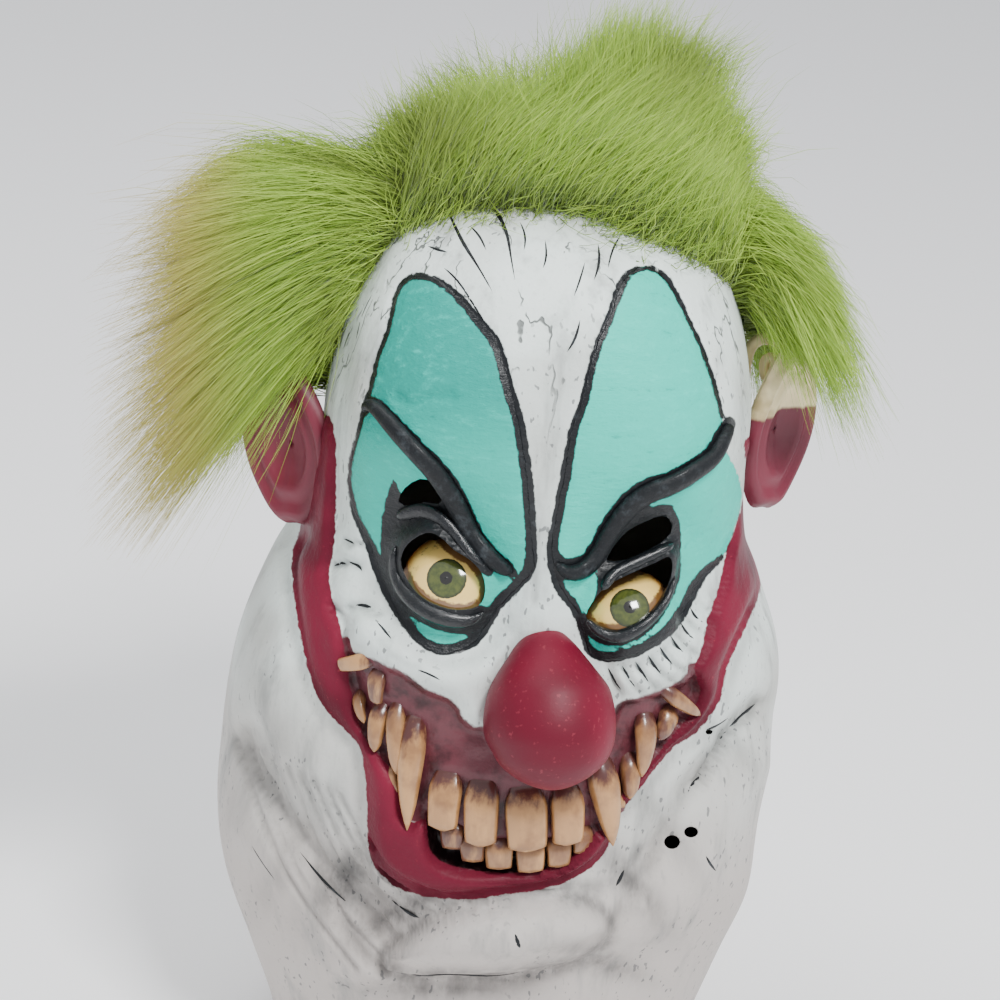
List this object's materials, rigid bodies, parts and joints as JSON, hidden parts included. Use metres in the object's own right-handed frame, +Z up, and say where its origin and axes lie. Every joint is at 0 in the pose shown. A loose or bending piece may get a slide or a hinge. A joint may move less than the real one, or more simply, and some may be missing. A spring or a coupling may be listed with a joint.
{
  "type": "overhead clown mask with fur hair",
  "caption": "Hollow overhead latex clown mask with a wide neck skirt, peep slots, plastic eye domes, a ball nose, bared teeth and fur tufts on the crown and over the ears.",
  "frame": {"origin": "inside the crown, where the wearer's head bears against the latex", "axes": "+Z up, the face looks along -Y, +X to the right as seen from the front"},
  "size_m": [0.3191, 0.2835, 0.4842],
  "materials": {
    "latex": "matt painted latex, white with dark speckle, teal and black round the eyes, red nose and lips",
    "eye_plastic": "glossy ochre eye domes with olive irises",
    "fur": "long yellow-green fun fur"
  },
  "bodies": {
    "root": {"mask_shell": "latex", "eyeball_left": "eye_plastic", "eyeball_right": "eye_plastic", "hair_crown": "fur", "hair_left": "fur", "hair_right": "fur"}
  },
  "joints": []
}
